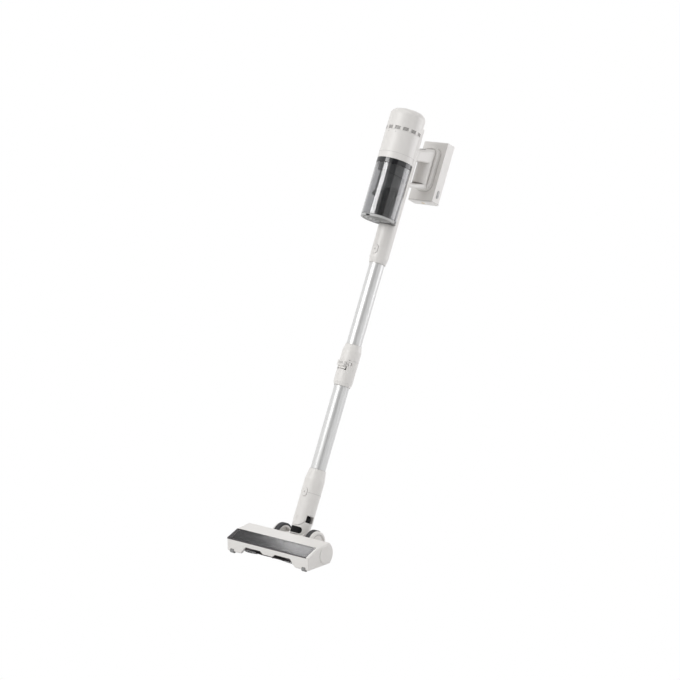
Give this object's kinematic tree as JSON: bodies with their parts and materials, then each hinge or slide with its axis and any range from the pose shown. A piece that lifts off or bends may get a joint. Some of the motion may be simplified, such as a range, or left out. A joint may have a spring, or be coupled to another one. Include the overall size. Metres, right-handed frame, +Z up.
{
  "type": "cordless stick vacuum cleaner",
  "caption": "Cordless stick vacuum: handheld motor unit with clear dust cup and battery, folding wand, swivelling floor head with a spinning brush and wheels, held up by its grip.",
  "frame": {"origin": "middle of the hand grip, the vacuum leaning back on its floor head as it stands on a floor", "axes": "+X across the floor head to its right end, +Y backwards, +Z straight up"},
  "size_m": [0.245, 0.6357, 0.9623],
  "materials": {
    "shell": "satin warm white",
    "steel": "satin silver",
    "smoke": "clear smoked",
    "cup": "clear smoked",
    "black": "matte black",
    "grey": "satin light grey",
    "tyre": "matte",
    "rubber": "matte",
    "bristle": "soft dark brown",
    "pin": "turned",
    "motor": "satin",
    "alloy": "machined",
    "filter": "felt",
    "mesh": "perforated",
    "board": "solder mask",
    "cell": "shrink sleeve",
    "brass": "plated"
  },
  "bodies": {
    "main_unit": {"chassis_left": "shell", "chassis_right": "shell", "terminal_block": "black", "motor_ring": "shell", "motor_housing": "shell", "motor": "motor", "motor_mount": "rubber", "circuit_board": "board"},
    "fan": {"impeller": "alloy"},
    "filter_lid": {"filter_cap": "shell", "exhaust_filter": "filter"},
    "mode_key": {"mode_button": "grey"},
    "cup_lock": {"cup_catch": "shell"},
    "wand_lock": {"wand_button": "shell"},
    "battery": {"pack_case": "shell", "pack_foot": "shell", "battery_cells": "cell", "pack_board": "board", "charge_jack": "brass"},
    "battery_lock_left": {"pack_latch_left": "grey"},
    "battery_lock_right": {"pack_latch_right": "grey"},
    "dust_cup": {"cup_wall": "cup", "cup_collar": "black", "pre_filter": "filter", "cyclone_shroud": "mesh", "cyclone_cone": "black", "lid_pin": "pin"},
    "cup_flap": {"cup_lid": "grey"},
    "flap_lock": {"lid_latch": "black"},
    "upper_wand": {"upper_tube": "steel", "fold_fork": "shell"},
    "fold_lock": {"fold_tab": "shell"},
    "lower_wand": {"lower_tube": "steel", "fold_knuckle": "shell", "fold_pin": "pin", "fold_duct": "rubber"},
    "neck": {"neck_sleeve": "shell"},
    "neck_lock": {"neck_button": "shell"},
    "yoke": {"neck_yoke": "shell", "yoke_insert": "black", "swivel_ball": "black"},
    "floor_head": {"head_base": "shell", "head_cover": "shell", "head_window": "smoke", "end_cap": "shell", "drive_belt": "rubber", "drive_motor": "motor", "rear_axle": "pin"},
    "brush": {"brush_roll": "black", "brush_bristles": "bristle"},
    "brush_drive": {"drive_pinion": "alloy"},
    "brush_access": {"brush_cap": "shell"},
    "wheel_left": {"wheel_hub_left": "shell", "wheel_tyre_left": "tyre"},
    "wheel_right": {"wheel_hub_right": "shell", "wheel_tyre_right": "tyre"},
    "roller_left": {"front_roller_left": "black"},
    "roller_right": {"front_roller_right": "black"}
  },
  "joints": [
    {"name": "fan_spin", "type": "hinge", "parent": "main_unit", "child": "fan", "pos_m": [0, -0.09105, 0.05463], "axis": [0, 0.4399, 0.898], "continuous": true},
    {"name": "filter_lift", "type": "slide", "parent": "main_unit", "child": "filter_lid", "axis": [0, 0.4399, 0.898], "range_m": [0, 0.045]},
    {"name": "mode_press", "type": "slide", "parent": "main_unit", "child": "mode_key", "axis": [0, -0.1098, -0.994], "range_m": [0, 0.001], "stiffness_N_per_m": 400, "springref_m": -0.002},
    {"name": "cup_catch_pull", "type": "slide", "parent": "main_unit", "child": "cup_lock", "axis": [0, 0.898, -0.4399], "range_m": [0, 0.003], "stiffness_N_per_m": 400, "springref_m": -0.002},
    {"name": "wand_button_press", "type": "slide", "parent": "main_unit", "child": "wand_lock", "axis": [0, 0.898, -0.4399], "range_m": [0, 0.0015], "stiffness_N_per_m": 400, "springref_m": -0.002},
    {"name": "battery_pull", "type": "slide", "parent": "main_unit", "child": "battery", "axis": [0, 0.898, -0.4399], "range_m": [0, 0.05]},
    {"name": "battery_latch_left", "type": "slide", "parent": "battery", "child": "battery_lock_left", "axis": [1, 0, 0], "range_m": [0, 0.0015], "stiffness_N_per_m": 400, "springref_m": -0.002},
    {"name": "battery_latch_right", "type": "slide", "parent": "battery", "child": "battery_lock_right", "axis": [-1, 0, 0], "range_m": [0, 0.0015], "stiffness_N_per_m": 400, "springref_m": -0.002},
    {"name": "cup_pull", "type": "slide", "parent": "main_unit", "child": "dust_cup", "axis": [0, -0.898, 0.4399], "range_m": [0, 0.09]},
    {"name": "flap_open", "type": "hinge", "parent": "dust_cup", "child": "cup_flap", "pos_m": [0, -0.15006, -0.09196], "axis": [1, 0, 0], "range_deg": [0, 85]},
    {"name": "flap_latch", "type": "slide", "parent": "cup_flap", "child": "flap_lock", "axis": [0, 0.898, -0.4399], "range_m": [0, 0.0012], "stiffness_N_per_m": 400, "springref_m": -0.002},
    {"name": "wand_pull", "type": "slide", "parent": "main_unit", "child": "upper_wand", "axis": [0, -0.4399, -0.898], "range_m": [0, 0.05]},
    {"name": "fold_tab_press", "type": "slide", "parent": "upper_wand", "child": "fold_lock", "axis": [0, 0.898, -0.4399], "range_m": [0, 0.0012], "stiffness_N_per_m": 400, "springref_m": -0.002},
    {"name": "fold", "type": "hinge", "parent": "upper_wand", "child": "lower_wand", "pos_m": [0, -0.28427, -0.40002], "axis": [-1, 0, 0], "range_deg": [0, 90]},
    {"name": "neck_pull", "type": "slide", "parent": "lower_wand", "child": "neck", "axis": [0, -0.4399, -0.898], "range_m": [0, 0.04]},
    {"name": "neck_button_press", "type": "slide", "parent": "neck", "child": "neck_lock", "axis": [0, 0.898, -0.4399], "range_m": [0, 0.0015], "stiffness_N_per_m": 400, "springref_m": -0.002},
    {"name": "swivel", "type": "hinge", "parent": "neck", "child": "yoke", "pos_m": [0, -0.43207, -0.7324], "axis": [0, 0.898, -0.4399], "range_deg": [-35, 35]},
    {"name": "tilt", "type": "hinge", "parent": "yoke", "child": "floor_head", "pos_m": [0, -0.45231, -0.7737], "axis": [1, 0, 0], "range_deg": [-26, 54]},
    {"name": "brush_spin", "type": "hinge", "parent": "floor_head", "child": "brush", "pos_m": [0, -0.53031, -0.78321], "axis": [1, 0, 0], "continuous": true},
    {"name": "brush_drive_spin", "type": "hinge", "parent": "floor_head", "child": "brush_drive", "pos_m": [0, -0.49431, -0.7757], "axis": [1, 0, 0], "continuous": true},
    {"name": "brush_cap_pull", "type": "slide", "parent": "floor_head", "child": "brush_access", "axis": [1, 0, 0], "range_m": [0, 0.02]},
    {"name": "wheel_left_spin", "type": "hinge", "parent": "floor_head", "child": "wheel_left", "pos_m": [-0.05, -0.45231, -0.7737], "axis": [1, 0, 0], "continuous": true},
    {"name": "wheel_right_spin", "type": "hinge", "parent": "floor_head", "child": "wheel_right", "pos_m": [0.05, -0.45231, -0.7737], "axis": [1, 0, 0], "continuous": true},
    {"name": "roller_left_spin", "type": "hinge", "parent": "floor_head", "child": "roller_left", "pos_m": [-0.107, -0.55111, -0.79751], "axis": [1, 0, 0], "continuous": true},
    {"name": "roller_right_spin", "type": "hinge", "parent": "floor_head", "child": "roller_right", "pos_m": [0.107, -0.55111, -0.79751], "axis": [1, 0, 0], "continuous": true}
  ],
  "couplings": [
    {"joint": "brush_drive_spin", "follows": "brush_spin", "ratio": 1.8}
  ]
}
